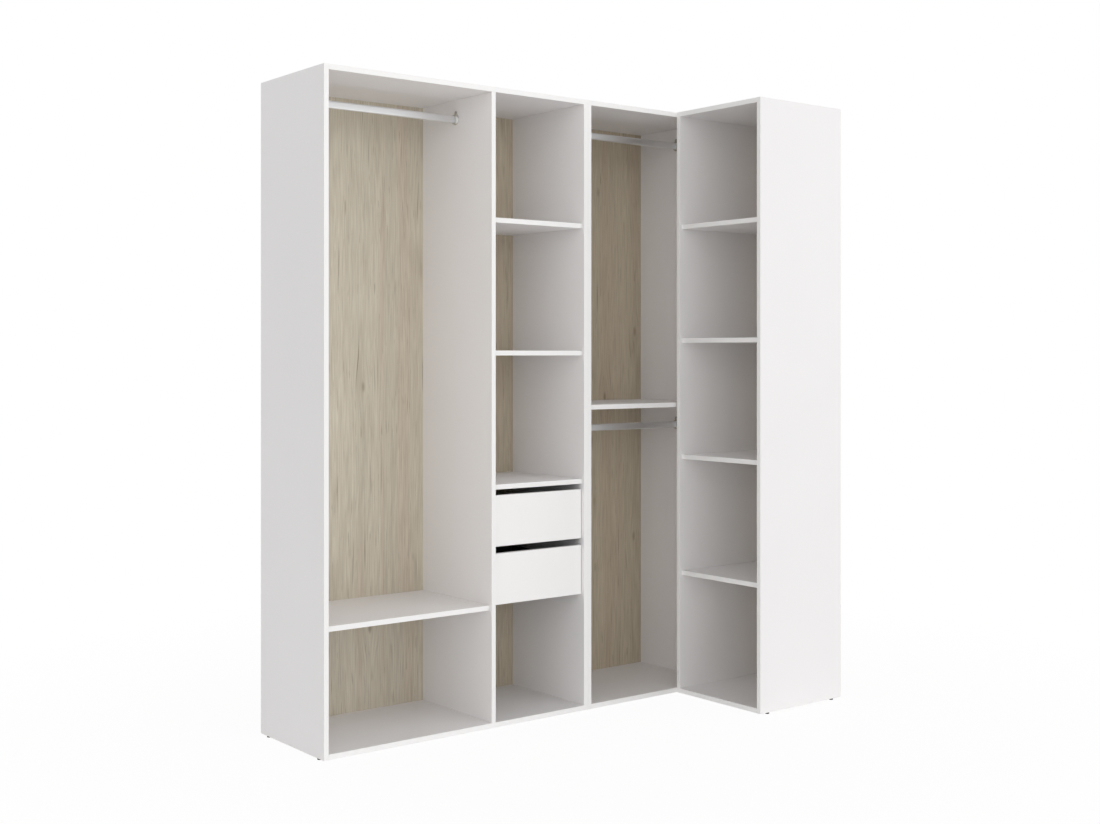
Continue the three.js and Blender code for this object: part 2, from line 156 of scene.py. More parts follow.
class WardrobeHardware(PropertyGroup):
    rail_wall: length("Rail wall", "Wall of the hanging rails", 1.2)
    rail_round: length("Rail rounding", "Radius of the rails' corners", 5)
    plate_radius: length("Plate radius", "Round plate of a rail bracket", 17)
    plate_thickness: length("Plate thickness", "Plate of a rail bracket", 2.5)
    ear_width: length("Ear width", "Ear that stands above the bracket's plate", 13)
    ear_rise: length("Ear rise", "From the rail's centre to the ear's screw", 22)
    socket_depth: length("Socket depth", "How far a bracket's socket takes in its rail", 10)
    socket_wall: length("Socket wall", "Wall of a bracket's socket", 2.4)
    socket_clearance: length("Socket clearance", "Room between a rail and its socket", 0.3)
    bracket_screw: length("Bracket screw", "Radius of the screw heads in the brackets", 3.8)
    bracket_head: length("Bracket head", "Height of the screw heads in the brackets", 1.2)
    runner_steel: length("Runner steel", "Sheet that the drawer runners are folded from", 1.2)
    runner_bend: length("Runner bend", "Bend radius of the folded runners", 1.2)
    runner_lip: length("Runner lip", "Lips of the channel on the carcass", 2.4)
    roller_radius: length("Roller radius", "Rollers of the drawer runners", 8.5)
    roller_width: length("Roller width", "Rollers of the drawer runners", 5.4)
    roller_start: length("Roller start", "From the carcass wall to the rollers", 2.6)
    roller_setback: length("Roller setback", "From a runner's end to its roller", 3.5)
    roller_gap: length("Roller gap", "Room between a roller and the steel that it runs along", 0.3)
    roller_web: length("Roller web", "Depth of the sunk face round a roller's hub", 0.5)
    pin_radius: length("Pin radius", "Pins of the rollers", 2.3)
    rivet_radius: length("Rivet radius", "Heads of the rollers' pins", 3.4)
    rivet_height: length("Rivet height", "Heads of the rollers' pins", 0.8)
    stop_height: length("Stop height", "Stop pressed up out of a channel's floor", 4)
    stop_length: length("Stop length", "Stop pressed up out of a channel's floor", 9)
    stop_ramp: length("Stop ramp", "Slope on the front of the stop", 3.2)
    stop_gap: length("Stop gap", "What is left between roller and stop at full travel", 0.5)
    runner_screw: length("Runner screw", "Radius of the screw heads in the runners", 3)
    screw_height: length("Screw height", "Heads of the runners' screws", 1.1)
    screw_room: length("Screw room", "Room round a screw head that is sunk in steel", 0.1)
    glide_radius: length("Glide radius", "Floor glides", 7)
    glide_rim: length("Glide rim", "Width of the ring that a glide stands on", 2.4)
    glide_hollow: length("Glide hollow", "Depth of the hollow in a glide's foot", 1.4)
    glide_nail: length("Glide nail", "Radius of the nail heads in the glides", 2.2)
    nail_radius: length("Nail radius", "Heads of the nails round the back sheets", 1.9)
    nail_rise: length("Nail rise", "How far the nail heads stand out of the back sheets", 0.05)
    nail_spacing: length("Nail spacing", "From nail to nail round the back sheets", 150)
    sheet_inset: length("Sheet inset", "From a carcass's outline to its back sheet", 1)
    bolt_radius: length("Bolt radius", "Heads of the bolts that join two modules", 7.5)
    bolt_height: length("Bolt height", "Heads of the bolts that join two modules", 2.4)
    sides: IntProperty(
        name="Sides", description="Sides of the glides and rollers", default=48, min=12, max=128
    )


class WardrobeStudio(PropertyGroup):
    camera_place: FloatVectorProperty(
        name="Camera place",
        description="Where the camera stands",
        subtype="TRANSLATION",
        unit="LENGTH",
        size=3,
        default=(-2.98525, -3.72005, 1.1861),
    )
    camera_turn: FloatProperty(
        name="Camera turn",
        description="Turn of the level camera to the right of +Y",
        unit="ROTATION",
        default=math.radians(38.134),
    )
    lens: FloatProperty(
        name="Lens", description="Focal length", unit="CAMERA", default=47.44, min=1
    )
    shift: FloatProperty(
        name="Shift", description="Vertical shift that keeps uprights upright", default=-0.0519
    )
    ambient: brightness("Ambient", "Light from every side", 0.3)
    left: brightness("Left light", "Light from the front left", 1.75)
    right: brightness("Right light", "Light from the front right", 2.4)
    top: brightness("Top light", "Light from above", 0.4)
    floor: brightness("Floor light", "Light that the floor adds", 0.25)
    floor_radius: length("Floor radius", "Round floor that the wardrobe stands on", 14000)
    floor_shade: colour("Floor shade", "The floor's own colour", "ECECEC")


def add_node(tree, kind, inputs=None, **settings):
    """Adds a node. Its inputs are values, sockets, or nodes that give their first output."""
    made = tree.nodes.new(kind)
    for key, value in settings.items():
        setattr(made, key, value)
    for key, value in (inputs or {}).items():
        if isinstance(value, bpy.types.Node):
            value = value.outputs[0]
        if isinstance(value, bpy.types.NodeSocket):
            tree.links.new(value, made.inputs[key])
        else:
            made.inputs[key].default_value = value
    return made


def new_material(name):
    """An empty material, its node tree and the object coordinates that its patterns read."""
    material = bpy.data.materials.new(name)
    material.use_nodes = True
    tree = material.node_tree
    tree.nodes.clear()
    place = add_node(tree, "ShaderNodeTexCoord").outputs["Object"]
    return material, tree, place


def close_material(tree, **inputs):
    """Ends a node tree in one Principled shader with the inputs given."""
    names = {key.replace("_", " "): value for key, value in inputs.items()}
    shader = add_node(tree, "ShaderNodeBsdfPrincipled", names)
    add_node(tree, "ShaderNodeOutputMaterial", {"Surface": shader})


def rgba(value):
    """A property's colour with full opacity, as a colour socket takes it."""
    return (*value, 1)


def painted_edges(tree, place, colours, base, axis, front, rear, foot):
    """Adds the band on the front edge, its seam, and raw chips at the rear and under uprights."""
    split = add_node(tree, "ShaderNodeSeparateXYZ", {0: place})
    inward = split.outputs[axis]
    depth = add_node(tree, "ShaderNodeMath", {0: inward, 1: front}, operation="SUBTRACT")
    # The band is 0.8 mm thick. Its glue line is a hair's breadth, drawn 0.4 mm wide so that it shows.
    banded = add_node(tree, "ShaderNodeMath", {0: depth, 1: 0.8 * MM}, operation="LESS_THAN")
    seam = add_node(tree, "ShaderNodeMath", {0: depth, 1: 1.0 * MM, 2: 0.2 * MM}, operation="COMPARE")
    beyond = add_node(tree, "ShaderNodeMath", {0: inward, 1: rear - NEAR}, operation="GREATER_THAN")
    below = add_node(
        tree, "ShaderNodeMath", {0: split.outputs["Z"], 1: foot + NEAR}, operation="LESS_THAN"
    )
    raw = add_node(tree, "ShaderNodeMath", {0: beyond, 1: below}, operation="MAXIMUM")
    # Chips of about 2 mm
    chips = add_node(tree, "ShaderNodeTexVoronoi", {"Vector": place, "Scale": 1 / (2 * MM)})
    grey = add_node(tree, "ShaderNodeSeparateColor", {0: chips.outputs["Color"]})
    chip_tone = add_node(
        tree,
        "ShaderNodeMixRGB",
        {"Fac": grey, "Color1": rgba(colours.chip_pale), "Color2": rgba(colours.chip_dark)},
    )
    mixed = base
    for share, tint in (
        (banded, rgba(colours.board_band)),
        (seam, rgba(colours.band_seam)),
        (raw, chip_tone),
    ):
        mixed = add_node(tree, "ShaderNodeMixRGB", {"Fac": share, "Color1": mixed, "Color2": tint})
    return mixed, banded, raw


# Melamine-faced chipboard, pressed against a pearled steel plate: an even, slightly warm white with a
# soft satin sheen, broken by a grain too fine to see singly, and a band that is a little smoother
def melamine(colours, axis, front, rear, foot):
    material, tree, place = new_material(f"white_melamine_{axis}_{front / MM:.0f}_{foot / MM:.0f}")
    # The paper's tone drifts by about a percent over 300 mm
    drift = add_node(
        tree, "ShaderNodeTexNoise", {"Vector": place, "Scale": 1 / (300 * MM), "Detail": 1}
    )
    dulled = tuple(0.975 * c for c in colours.board_face)
    base = add_node(
        tree,
        "ShaderNodeMixRGB",
        {"Fac": drift, "Color1": rgba(colours.board_face), "Color2": rgba(dulled)},
    )
    mixed, banded, raw = painted_edges(tree, place, colours, base, AXES[axis], front, rear, foot)
    # Pearl grain of 0.6 mm, drawn at 1.2 mm so that it shows from near by
    pearl = add_node(
        tree, "ShaderNodeTexNoise", {"Vector": place, "Scale": 1 / (1.2 * MM), "Detail": 2}
    )
    rough = add_node(tree, "ShaderNodeMapRange", {"Value": pearl, "To Min": 0.42, "To Max": 0.56})
    for share, change in ((banded, -0.1), (raw, 0.4)):
        rough = add_node(
            tree, "ShaderNodeMath", {0: share, 1: change, 2: rough}, operation="MULTIPLY_ADD"
        )
    bump = add_node(tree, "ShaderNodeBump", {"Height": pearl, "Strength": 0.15, "Distance": 0.05 * MM})
    close_material(tree, Base_Color=mixed, Roughness=rough, Normal=bump)
    return material


def stretched(tree, across, along, width, run, up="Z"):
    """Coordinates whose pattern is width wide across the fibres and run long with them."""
    wide, tall = (
        add_node(tree, "ShaderNodeMath", {0: start, 1: 1 / size}, operation="MULTIPLY")
        for start, size in ((across, width), (along, run))
    )
    return add_node(tree, "ShaderNodeCombineXYZ", {"X": wide, up: tall})


def oak_fibres(tree, across, along):
    """Where a place lies across the fibres as they flow round the knots, and the knots' hearts."""
    # Fibres wander by about 12 mm over 500 mm
    bends = stretched(tree, across, along, 160 * MM, 500 * MM)
    sway = add_node(tree, "ShaderNodeTexNoise", {"Vector": bends, "Scale": 1, "Detail": 1})
    swayed = add_node(
        tree, "ShaderNodeMath", {0: sway, 1: 24 * MM, 2: across}, operation="MULTIPLY_ADD"
    )
    # A knot's place in each cell of 170 by 420 mm. Only some of them hold one.
    cell_width, cell_run = 170 * MM, 420 * MM
    cells = stretched(tree, swayed, along, cell_width, cell_run, "Y")
    knots = add_node(
        tree, "ShaderNodeTexVoronoi", {"Vector": cells, "Scale": 1}, voronoi_dimensions="2D"
    )
    chance = add_node(tree, "ShaderNodeSeparateColor", {0: knots.outputs["Color"]})
    present = add_node(tree, "ShaderNodeMapRange", {"Value": chance, "From Min": 0.45, "From Max": 0.9})
    pull, heart = (
        add_node(
            tree,
            "ShaderNodeMapRange",
            {"Value": knots.outputs["Distance"], "From Min": outer, "From Max": inner, "To Max": most},
            interpolation_type="SMOOTHSTEP",
        )
        for outer, inner, most in ((0.32, 0.0, 0.85), (0.06, 0.01, 1.0))
    )
    pull, heart = (
        add_node(tree, "ShaderNodeMath", {0: share, 1: present}, operation="MULTIPLY")
        for share in (pull, heart)
    )
    centre = add_node(tree, "ShaderNodeSeparateXYZ", {0: knots.outputs["Position"]}).outputs["X"]
    knot_x = add_node(tree, "ShaderNodeMath", {0: centre, 1: cell_width}, operation="MULTIPLY")
    aside = add_node(tree, "ShaderNodeMath", {0: swayed, 1: knot_x}, operation="SUBTRACT")
    push = add_node(tree, "ShaderNodeMath", {0: aside, 1: pull}, operation="MULTIPLY")
    fibre = add_node(tree, "ShaderNodeMath", {0: swayed, 1: push}, operation="SUBTRACT")
    return fibre, heart


def oak_paper(tree, colours, laid, right):
    """The printed oak's colour, darkened by painted shade towards the corner bay, and its finest threads for the
    relief.
    """
    flat = add_node(tree, "ShaderNodeSeparateXYZ", {0: laid})
    across, along = flat.outputs["X"], flat.outputs["Z"]
    fibre, heart = oak_fibres(tree, across, along)

    def tone(width, run, low, high, detail=2):
        """Streaks of 0 to 1, width wide and run long, where the noise is between low and high."""
        streaks = stretched(tree, fibre, along, width, run)
        noise = add_node(tree, "ShaderNodeTexNoise", {"Vector": streaks, "Scale": 1, "Detail": detail})
        return add_node(tree, "ShaderNodeMapRange", {"Value": noise, "From Min": low, "From Max": high})

    # Growth zones of 100 mm, rosy stripes of 80 mm, fibres of 12 mm, threads of 3.2 mm, smoky places
    # of 30 mm, pores that run together 4.5 mm wide, a few cracks of 8 mm, and the knots' hearts
    thread = tone(3.2 * MM, 130 * MM, 0.38, 0.62, 4)
    layers = (
        (tone(100 * MM, 1500 * MM, 0.35, 0.65, 1), 0.4, colours.oak_grey),
        (tone(80 * MM, 2400 * MM, 0.54, 0.62), 0.45, colours.oak_rose),
        (tone(12 * MM, 220 * MM, 0.35, 0.65, 3), 0.1, colours.oak_dark),
        (thread, 0.24, colours.oak_dark),
        (tone(30 * MM, 260 * MM, 0.55, 0.8), 0.2, colours.oak_dark),
        (tone(4.5 * MM, 90 * MM, 0.65, 0.72, 1), 0.4, colours.oak_dark),
        (tone(8 * MM, 320 * MM, 0.68, 0.78, 1), 0.7, colours.oak_dark),
        (heart, 0.55, colours.oak_dark),
    )
    shade = rgba(colours.oak_pale)
    for streak, share, tint in layers:
        weight = add_node(tree, "ShaderNodeMath", {0: streak, 1: share}, operation="MULTIPLY")
        shade = add_node(
            tree, "ShaderNodeMixRGB", {"Fac": weight, "Color1": shade, "Color2": rgba(tint)}
        )
    # Painted shade: the print is multiplied darker from left to right over the narrow bay, and fully in the corner
    # bay and beyond
    deep = add_node(
        tree,
        "ShaderNodeMapRange",
        {"Value": right, "From Min": PAINTED_SHADE_FROM, "From Max": PAINTED_SHADE_TO},
    )
    shade = add_node(
        tree,
        "ShaderNodeMixRGB",
        {"Fac": deep, "Color1": shade, "Color2": rgba(colours.oak_painted_shade)},
        blend_type="MULTIPLY",
    )
    return shade, thread


def pressed_rear(tree, colours, place, laid):
    """The brown of raw hardboard in felted fibres of 6 mm, and the weave of its press mesh."""
    felt = add_node(
        tree,
        "ShaderNodeTexNoise",
        {"Vector": place, "Scale": 1 / (6 * MM), "Detail": 5, "Roughness": 0.7},
    )
    brown = rgba(colours.hardboard)
    lighter = tuple(min(1, 1.5 * c) for c in colours.hardboard)
    board = add_node(tree, "ShaderNodeMixRGB", {"Fac": felt, "Color1": brown, "Color2": rgba(lighter)})
    # The mesh is about 1.5 mm from wire to wire and is drawn at 3 mm so that it shows from near by
    mesh = [
        add_node(
            tree,
            "ShaderNodeTexWave",
            {"Vector": laid, "Scale": math.tau / (3 * MM) / WAVE_RADIANS},
            wave_type="BANDS",
            bands_direction=direction,
        ).outputs[1]
        for direction in ("X", "Z")
    ]
    woven = add_node(tree, "ShaderNodeMath", {0: mesh[0], 1: mesh[1]}, operation="MULTIPLY")
    return board, woven


# Oak printed on paper over 3 mm hardboard: long pale fibres in beige, grey and rosy stripes, short
# dark pores, a few cracks, and a knot here and there that the fibres flow round. Matt, and flat to
# the touch. The rear is raw hardboard with the mesh of its press, and the cut edges are sealed white.
def oak_print(colours, axis, middle, shift):
    material, tree, place = new_material(f"oak_printed_hardboard_{axis}")
    # The pattern is laid with its fibres along Z and its width along X, turned for the return module
    turn = QUARTER if axis == "x" else 0
    laid = add_node(
        tree, "ShaderNodeMapping", {"Vector": place, "Rotation": (0, 0, turn), "Location": shift}
    )
    spot = add_node(tree, "ShaderNodeSeparateXYZ", {0: place})
    shade, thread = oak_paper(tree, colours, laid, spot.outputs["X"])
    board, woven = pressed_rear(tree, colours, place, laid)
    behind = add_node(
        tree, "ShaderNodeMath", {0: spot.outputs[AXES[axis]], 1: middle}, operation="GREATER_THAN"
    )
    facing = add_node(tree, "ShaderNodeTexCoord").outputs["Normal"]
    facing = add_node(tree, "ShaderNodeSeparateXYZ", {0: facing}).outputs[AXES[axis]]
    facing = add_node(tree, "ShaderNodeMath", {0: facing}, operation="ABSOLUTE")
    edge = add_node(tree, "ShaderNodeMath", {0: facing, 1: 0.5}, operation="LESS_THAN")
    for share, tint in ((behind, board), (edge, rgba(colours.board_band))):
        shade = add_node(tree, "ShaderNodeMixRGB", {"Fac": share, "Color1": shade, "Color2": tint})
    rough = add_node(tree, "ShaderNodeMapRange", {"Value": behind, "To Min": 0.55, "To Max": 0.9})
    relief = add_node(
        tree, "ShaderNodeMath", {0: woven, 1: behind, 2: thread}, operation="MULTIPLY_ADD"
    )
    bump = add_node(tree, "ShaderNodeBump", {"Height": relief, "Strength": 0.2, "Distance": 0.1 * MM})
    close_material(tree, Base_Color=shade, Roughness=rough, Normal=bump)
    return material


def grained(tree, noise, tint, tint_share, rough, relief, stain=None):
    """Roughness and relief that follow a noise. The tone follows it too, or a stain of its own."""
    other = tuple(tint_share * c for c in tint)
    tone = add_node(
        tree,
        "ShaderNodeMixRGB",
        {"Fac": noise if stain is None else stain, "Color1": rgba(tint), "Color2": rgba(other)},
    )
    low, high = rough
    matt = add_node(tree, "ShaderNodeMapRange", {"Value": noise, "To Min": low, "To Max": high})
    strength, depth = relief
    bump = add_node(tree, "ShaderNodeBump", {"Height": noise, "Strength": strength, "Distance": depth})
    return {"Base_Color": tone, "Roughness": matt, "Normal": bump}


# Anthracite paper foil wrapped round chipboard: a dark grey with a fine pore emboss along the board
def anthracite_foil(colours):
    material, tree, place = new_material("anthracite_foil_wrap")
    # Nine pores to 10 mm across the board, and six to 500 mm along it
    across, along = 9 / (10 * MM), 6 / (500 * MM)
    pores = add_node(tree, "ShaderNodeMapping", {"Vector": place, "Scale": (across, along, across)})
    emboss = add_node(tree, "ShaderNodeTexNoise", {"Vector": pores, "Scale": 1, "Detail": 3})
    look = grained(tree, emboss, colours.foil, 1.5, rough=(0.45, 0.65), relief=(0.3, 0.1 * MM))
    close_material(tree, **look)
    return material


# Extruded and satin-anodised aluminium: a soft bright grey with faint drawn lines along the tube
def satin_aluminium(colours):
    material, tree, place = new_material("satin_anodised_aluminium")
    # Twelve drawn lines to 10 mm round the tube, each about 250 mm long
    around, along = 12 / (10 * MM), 1 / (250 * MM)
    drawn = add_node(tree, "ShaderNodeMapping", {"Vector": place, "Scale": (along, around, around)})
    lines = add_node(tree, "ShaderNodeTexNoise", {"Vector": drawn, "Scale": 1, "Detail": 2})
    look = grained(
        tree, lines, colours.aluminium, 0.94, rough=(0.36, 0.5), relief=(0.1, 0.05 * MM)
    )
    close_material(tree, Metallic=1.0, **look)
    return material


# A plated metal, whose shine and tone vary with its grain
def plated_metal(name, tint, grain, rough):
    material, tree, place = new_material(name)
    cloud = add_node(tree, "ShaderNodeTexNoise", {"Vector": place, "Scale": 1 / grain, "Detail": 3})
    look = grained(tree, cloud, tint, 0.82, rough, relief=(0.1, 0.05 * MM))
    close_material(tree, Metallic=1.0, **look)
    return material


# A coat or moulding with an even tone and a soft skin
def soft_skin(name, tint, grain, rough, peel_strength, glow=0.0, shine=0.5):
    material, tree, place = new_material(name)
    peel, wear = (
        add_node(tree, "ShaderNodeTexNoise", {"Vector": place, "Scale": 1 / size, "Detail": detail})
        for size, detail in ((grain, 2), (9 * grain, 3))
    )
    look = grained(tree, peel, tint, 0.9, rough, (peel_strength, 0.1 * MM), stain=wear)
    close_material(
        tree,
        Subsurface_Weight=glow,
        Subsurface_Scale=1.5 * MM,
        Specular_IOR_Level=shine,
        **look,
    )
    return material


def nothing_selected():
    if bpy.context.mode != "OBJECT":
        bpy.ops.object.mode_set(mode="OBJECT")
    bpy.ops.object.select_all(action="DESELECT")


def only(piece):
    """Makes piece the one selected and active object."""
    nothing_selected()
    piece.select_set(True)
    bpy.context.view_layer.objects.active = piece


def settle():
    """Moves the active object's place, turn and size into its mesh."""
    bpy.ops.object.transform_apply(location=True, rotation=True, scale=True)
    return bpy.context.object


def block(low, high):
    """A box between two corners, as the start of a piece."""
    nothing_selected()
    low, high = Vector(low), Vector(high)
    bpy.ops.mesh.primitive_cube_add(size=1, location=(low + high) / 2)
    bpy.context.object.scale = high - low
    return settle()


def rod(centre, radius, depth, axis="z", sides=None):
    """A cylinder about an axis, as the start of a round piece."""
    nothing_selected()
    bpy.ops.mesh.primitive_cylinder_add(
        vertices=sides or bpy.context.scene.wardrobe_hardware.sides,
        radius=radius,
        depth=depth,
        location=centre,
        rotation=AXIS_TURN[axis],
    )
    return settle()


def edit(piece):
    only(piece)
    bpy.ops.object.mode_set(mode="EDIT")


def pick(piece, kind, test):
    """In edit mode, selects the faces or edges that pass a test."""
    bpy.ops.mesh.select_mode(type=kind)
    bpy.ops.mesh.select_all(action="DESELECT")
    mesh = bmesh.from_edit_mesh(piece.data)
    for part in mesh.faces if kind == "FACE" else mesh.edges:
        if test(part):
            part.select_set(True)
    bmesh.update_edit_mesh(piece.data)


def faces_towards(axis, sign=1):
    """Tests whether a face points along an axis."""
    return lambda face: sign * face.normal[AXES[axis]] > 0.99


def edges_along(axis):
    """Tests whether an edge runs along an axis."""
    other = [i for i in range(3) if i != AXES[axis]]
    return lambda edge: all(abs(edge.verts[0].co[i] - edge.verts[1].co[i]) < NEAR for i in other)


def edges_at(axis, value):
    """Tests whether both ends of an edge lie on a plane across an axis."""
    return lambda edge: all(abs(vertex.co[AXES[axis]] - value) < NEAR for vertex in edge.verts)


def round_edges(piece, test, width, segments):
    edit(piece)
    pick(piece, "EDGE", test)
    bpy.ops.mesh.bevel(offset=width, segments=segments, affect="EDGES")
    bpy.ops.object.mode_set(mode="OBJECT")
    return piece


def finish_with(piece, kind, **settings):
    """Adds a modifier and applies it."""
    only(piece)
    modifier = piece.modifiers.new(kind.title(), kind)
    for key, value in settings.items():
        setattr(modifier, key, value)
    bpy.ops.object.modifier_apply(modifier=modifier.name)
    return piece


def join(pieces):
    """Makes one object of several."""
    nothing_selected()
    for piece in pieces:
        piece.select_set(True)
    bpy.context.view_layer.objects.active = pieces[0]
    bpy.ops.object.join()
    return bpy.context.object


def combine(base, others, operation):
    """Joins other pieces to base, or cuts them out of it, and removes them."""
    for other in others:
        finish_with(base, "BOOLEAN", object=other, operation=operation, solver="EXACT")
        bpy.data.objects.remove(other)
    return base


def soften(piece, width, segments=2, angle=40):
    """Breaks the sharp edges of a finished shape."""
    limit = math.radians(angle)
    return finish_with(
        piece, "BEVEL", width=width, segments=segments, limit_method="ANGLE", angle_limit=limit
    )


def copy_of(piece, matrix):
    """A copy with its own mesh, moved by a matrix. A mirrored one is turned the right way out."""
    only(piece)
    bpy.ops.object.duplicate(linked=False)
    made = bpy.context.object
    made.matrix_world = matrix
    settle()
    if matrix.determinant() < 0:
        edit(made)
        bpy.ops.mesh.select_all(action="SELECT")
        bpy.ops.mesh.normals_make_consistent(inside=False)
        bpy.ops.object.mode_set(mode="OBJECT")
    return made


def dress(piece, name, material, body, replaced=()):
    """Gives a finished piece its name, finish and body, and hides the solids it stands for."""
    only(piece)
    piece.name = piece.data.name = name
    piece.data.materials.clear()
    piece.data.materials.append(material)
    bpy.ops.object.shade_smooth_by_angle(angle=SMOOTH_ANGLE)
    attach(piece, body)
    if replaced:
        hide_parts(*replaced)
    return piece


def discard(*pieces):
    for piece in pieces:
        bpy.data.objects.remove(piece)


def paint(name, material):
    """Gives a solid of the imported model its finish."""
    data = frame["nodes"][name].data
    data.materials.clear()
    data.materials.append(material)


class WARDROBE_OT_boards(Operator):
    """Finish the melamine boards, with bands on their front edges"""

    bl_idname = "wardrobe.boards"
    bl_label = "Boards"

    def execute(self, context):
        colours = context.scene.wardrobe_colours
        made = {}
        for name, slot in SLOT_OF.items():
            if slot != "white_melamine":
                continue
            low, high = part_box(name)
            axis = "x" if name.startswith("return_") else "y"
            foot = low.z if name.endswith("_side") else NO_FOOT
            key = (axis, round(low[AXES[axis]], 4), round(foot, 4))
            if key not in made:
                made[key] = melamine(colours, axis, low[AXES[axis]], high[AXES[axis]], foot)
            paint(name, made[key])
        return {"FINISHED"}


class WARDROBE_OT_back_sheets(Operator):
    """Finish the back sheets with their oak print"""

    bl_idname = "wardrobe.back_sheets"
    bl_label = "Back sheets"

    def execute(self, context):
        colours = context.scene.wardrobe_colours
        made = {}
        for name, axis in BACK_SHEETS.items():
            if axis not in made:
                low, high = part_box(name)
                middle = (low[AXES[axis]] + high[AXES[axis]]) / 2
                made[axis] = oak_print(colours, axis, middle, PRINT_SHIFT)
            paint(name, made[axis])
        return {"FINISHED"}


class WARDROBE_OT_drawer_boxes(Operator):
    """Finish the drawer boxes with their foil"""

    bl_idname = "wardrobe.drawer_boxes"
    bl_label = "Drawer boxes"

    def execute(self, context):
        material = anthracite_foil(context.scene.wardrobe_colours)
        for name, slot in SLOT_OF.items():
            if slot == "anthracite_foil":
                paint(name, material)
        return {"FINISHED"}


def seen_rays(tree):
    """The light path, and whether a ray shows the background: from the camera, gloss or glass."""
    path = add_node(tree, "ShaderNodeLightPath")
    seen = path.outputs["Is Camera Ray"]
    for kind in ("Is Glossy Ray", "Is Transmission Ray"):
        seen = add_node(tree, "ShaderNodeMath", {0: seen, 1: path.outputs[kind]}, operation="MAXIMUM")
    return path, seen


class WARDROBE_OT_stage(Operator):
    """Set the camera, the pale floor and the soft light"""

    bl_idname = "wardrobe.stage"
    bl_label = "Studio"

    def execute(self, context):
        studio = context.scene.wardrobe_studio
        nothing_selected()
        bpy.ops.object.camera_add(
            location=studio.camera_place, rotation=(QUARTER, 0, -studio.camera_turn)
        )
        camera = context.object
        camera.data.sensor_width = SENSOR_WIDTH
        camera.data.lens = studio.lens
        camera.data.shift_y = studio.shift
        context.scene.camera = camera
        self.floor(studio)
        self.world(context.scene, studio)
        context.scene.view_settings.view_transform = "Standard"
        return {"FINISHED"}

    def floor(self, studio):
        nothing_selected()
        bpy.ops.mesh.primitive_circle_add(
            vertices=FLOOR_SIDES, radius=studio.floor_radius, fill_type="NGON", location=(0, 0, 0)
        )
        floor = settle()
        floor.name = "studio_floor"
        material, tree, place = new_material("studio_floor")
        path, seen = seen_rays(tree)
        span = add_node(tree, "ShaderNodeVectorMath", {0: place}, operation="LENGTH").outputs["Value"]
        # Near the wardrobe a little of the floor's own shade shows, and farther off it is white
        near, far = 900 * MM, 2500 * MM
        white = add_node(
            tree,
            "ShaderNodeMapRange",
            {"Value": span, "From Min": near, "From Max": far, "To Min": 0.96, "To Max": 1.0},
        )
        share = add_node(tree, "ShaderNodeMath", {0: seen, 1: white}, operation="MULTIPLY")
        matt = add_node(tree, "ShaderNodeBsdfDiffuse", {"Color": rgba(studio.floor_shade)})
        shown = add_node(tree, "ShaderNodeEmission", {"Strength": 1.0})
        mixed = add_node(tree, "ShaderNodeMixShader", {"Fac": share, 1: matt, 2: shown})
        lit = add_node(
            tree,
            "ShaderNodeMath",
            {0: path.outputs["Is Diffuse Ray"], 1: studio.floor},
            operation="MULTIPLY",
        )
        glow = add_node(tree, "ShaderNodeEmission", {"Strength": lit})
        both = add_node(tree, "ShaderNodeAddShader", {0: mixed, 1: glow})
        add_node(tree, "ShaderNodeOutputMaterial", {"Surface": both})
        floor.data.materials.append(material)

    def world(self, scene, studio):
        world = bpy.data.worlds.new("studio")
        world.use_nodes = True
        scene.world = world
        tree = world.node_tree
        tree.nodes.clear()
        towards = add_node(tree, "ShaderNodeTexCoord").outputs["Generated"]
        strength = studio.ambient
        aside = math.sqrt(0.5)
        lights = (
            ((-aside, -aside, 0), 4, studio.left),
            ((aside, -aside, 0), 4, studio.right),
            ((0, 0, 1), 1, studio.top),
        )
        for direction, focus, amount in lights:
            lobe = add_node(
                tree, "ShaderNodeVectorMath", {0: towards, 1: direction}, operation="DOT_PRODUCT"
            ).outputs["Value"]
            for value, operation in ((0.0, "MAXIMUM"), (focus, "POWER")):
                lobe = add_node(tree, "ShaderNodeMath", {0: lobe, 1: value}, operation=operation)
            strength = add_node(
                tree, "ShaderNodeMath", {0: lobe, 1: amount, 2: strength}, operation="MULTIPLY_ADD"
            )
        seen = seen_rays(tree)[1]
        lit = add_node(tree, "ShaderNodeBackground", {"Strength": strength})
        shown = add_node(tree, "ShaderNodeBackground", {"Color": (1, 1, 1, 1), "Strength": 1.0})
        mixed = add_node(tree, "ShaderNodeMixShader", {"Fac": seen, 1: lit, 2: shown})
        add_node(tree, "ShaderNodeOutputWorld", {"Surface": mixed})


class WARDROBE_OT_rails(Operator):
    """Model the hanging rails as open tubes with flat sides"""

    bl_idname = "wardrobe.rails"
    bl_label = "Hanging rails"

    def execute(self, context):
        sizes = context.scene.wardrobe_hardware
        material = satin_aluminium(context.scene.wardrobe_colours)
        for name in RAILS:
            tube = block(*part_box(name))
            round_edges(tube, edges_along("x"), sizes.rail_round, RAIL_SEGMENTS)
            edit(tube)
            pick(tube, "FACE", lambda face: abs(face.normal.x) > 0.99)
            bpy.ops.mesh.delete(type="FACE")
            bpy.ops.object.mode_set(mode="OBJECT")
            finish_with(tube, "SOLIDIFY", thickness=sizes.rail_wall, offset=-1)
            # The sawn ends are broken by 0.2 mm
            soften(tube, 0.2 * MM, angle=60)
            dress(tube, f"{name}_tube", material, "carcass", [name])
        return {"FINISHED"}


def rounded_bar(width, height, rounding, start, end):
    """A bar along X with the rail's kind of section, to join to a bracket or to cut out of it."""
    bar = block((start, -width / 2, -height / 2), (end, width / 2, height / 2))
    return round_edges(bar, edges_along("x"), rounding, RAIL_SEGMENTS)


